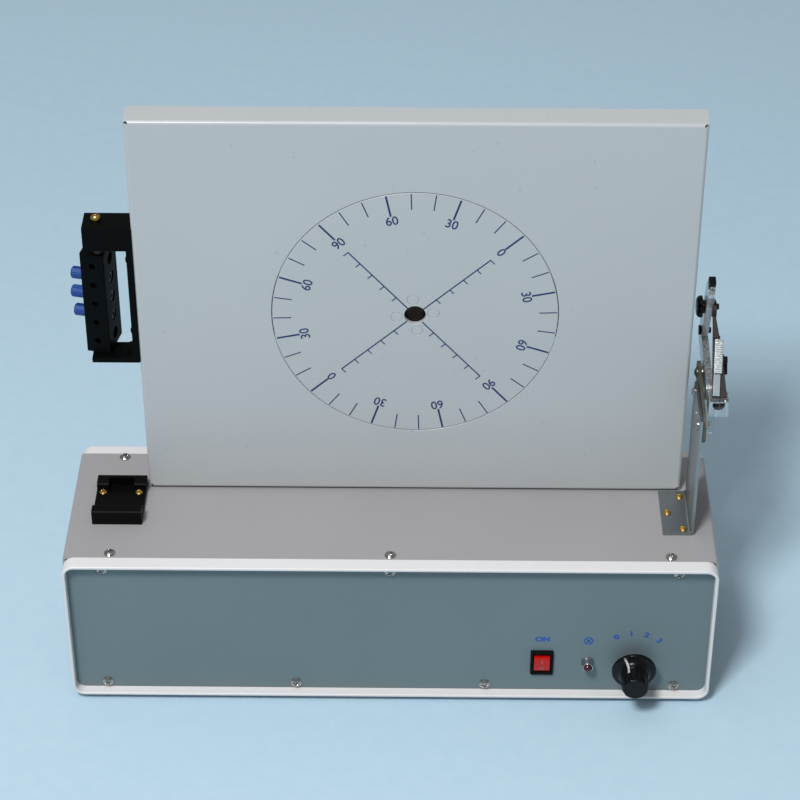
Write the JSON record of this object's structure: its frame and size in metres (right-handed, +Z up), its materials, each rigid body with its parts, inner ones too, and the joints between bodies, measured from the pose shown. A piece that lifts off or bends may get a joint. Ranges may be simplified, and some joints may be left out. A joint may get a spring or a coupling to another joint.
{
  "type": "laser optics demonstrator",
  "caption": "Low case with an upright white screen, a turning angle dial, a swivelling laser bar and a tilting mirror unit.",
  "frame": {"origin": "under the middle of the case, on the plane that the rubber feet stand on", "axes": "+X to the right seen from the front panel, +Y from the front panel to the rear, +Z up"},
  "size_m": [0.4249, 0.1521, 0.393],
  "materials": {
    "white_paint": "satin white paint with a slight blue cast",
    "grey_paint": "satin mid-grey paint",
    "panel_paint": "fine matt grey-green paint",
    "screw_steel": "bright nickel plating",
    "dark_steel": "dull steel",
    "rubber": "matt black rubber",
    "black_plastic": "moulded black plastic",
    "red_plastic": "bright red moulded plastic",
    "red_lens": "dark red clear plastic",
    "coil_tape": "yellow winding tape",
    "board": "green circuit board",
    "board_plastic": "dark component bodies",
    "fibre": "red-brown fibre",
    "aluminium": "satin aluminium",
    "brass": "bright turned brass",
    "black_anodised": "matt black anodised aluminium",
    "blue_plastic": "mid-blue heat-shrink sleeve",
    "dark_paint": "dark brown-black oxide",
    "mirror": "front-silvered mirror and pale strip",
    "glass": "clear glass"
  },
  "bodies": {
    "base": {"front_frame": "white_paint", "rear_frame": "white_paint", "top_cover": "grey_paint", "bottom_plate": "grey_paint", "front_panel": "panel_paint", "rear_panel": "panel_paint", "cover_screws": "screw_steel", "panel_screws": "screw_steel", "rubber_feet": "rubber", "foot_screws": "screw_steel", "switch_housing": "black_plastic", "lamp_bezel": "screw_steel", "lamp_lens": "red_lens", "selector_switch": "dark_steel", "mains_inlet": "black_plastic", "fuse_holder": "black_plastic", "transformer_core": "dark_steel", "transformer_coil": "coil_tape", "transformer_bolts": "screw_steel", "supply_board": "board", "board_spacers": "screw_steel", "board_parts": "board_plastic", "screen_panel": "white_paint", "screen_washers": "fibre", "screen_bolts": "screw_steel", "dial_bearing": "brass", "dial_strut": "aluminium", "strut_screws": "screw_steel", "laser_bracket": "black_anodised", "laser_bracket_screws": "brass", "laser_pivots": "screw_steel", "pivot_rings": "brass", "accessory_seat": "black_plastic", "side_bracket": "aluminium", "accessory_screws": "brass", "arm_screws": "screw_steel"},
    "rocker": {"switch_rocker": "red_plastic"},
    "selector": {"selector_shaft": "dark_steel", "selector_knob": "black_plastic"},
    "dial": {"dial_disc": "white_paint", "dial_rivets": "white_paint", "dial_hub": "aluminium", "dial_nut": "aluminium"},
    "laser_head": {"laser_bar": "black_anodised", "laser_modules": "brass", "module_caps": "blue_plastic", "module_screws": "dark_steel"},
    "arm": {"swing_arm": "dark_paint", "mirror_pivot": "screw_steel"},
    "holder": {"mirror_arm": "aluminium", "lens_block": "aluminium", "block_lens": "glass", "glass_slide": "glass", "arm_cap": "black_plastic", "holder_screws": "screw_steel"},
    "mirror_tray": {"mirror_plate": "dark_paint", "mirror_glass": "mirror"},
    "knob_clamp": {"clamp_knob": "black_plastic"},
    "knob_corner": {"corner_knob": "black_plastic"},
    "lever_clamp": {"clamp_lever": "black_plastic"}
  },
  "joints": [
    {"name": "rocker_tilt", "type": "hinge", "parent": "base", "child": "rocker", "pos_m": [0.0995, -0.0565, 0.0307], "axis": [1, 0, 0], "range_deg": [-18, 0]},
    {"name": "selector_turn", "type": "hinge", "parent": "base", "child": "selector", "pos_m": [0.1595, -0.0575, 0.0307], "axis": [0, 1, 0], "range_deg": [0, 69]},
    {"name": "dial_turn", "type": "hinge", "parent": "base", "child": "dial", "pos_m": [0.015, 0.018, 0.254], "axis": [0, 1, 0], "continuous": true},
    {"name": "laser_swivel", "type": "hinge", "parent": "base", "child": "laser_head", "pos_m": [-0.1829, 0.02786, 0.257], "axis": [0, 0, 1], "range_deg": [-30, 45]},
    {"name": "arm_swing", "type": "hinge", "parent": "base", "child": "arm", "pos_m": [0.1973, -0.017, 0.1954], "axis": [1, 0, 0], "range_deg": [-8, 8]},
    {"name": "holder_tilt", "type": "hinge", "parent": "arm", "child": "holder", "pos_m": [0.2018, 0.02498, 0.20641], "axis": [1, 0, 0], "range_deg": [-35, 6]},
    {"name": "mirror_tilt", "type": "hinge", "parent": "holder", "child": "mirror_tray", "pos_m": [0.205, 0.04196, 0.24589], "axis": [1, 0, 0], "range_deg": [-15, 0]},
    {"name": "clamp_knob_turn", "type": "hinge", "parent": "mirror_tray", "child": "knob_clamp", "pos_m": [0.196, 0.04196, 0.24589], "axis": [1, 0, 0], "continuous": true},
    {"name": "corner_knob_turn", "type": "hinge", "parent": "holder", "child": "knob_corner", "pos_m": [0.197, 0.04746, 0.22391], "axis": [1, 0, 0], "continuous": true},
    {"name": "lever_turn", "type": "hinge", "parent": "mirror_tray", "child": "lever_clamp", "pos_m": [0.21, 0.01076, 0.22606], "axis": [1, 0, 0], "range_deg": [-60, 60]}
  ]
}
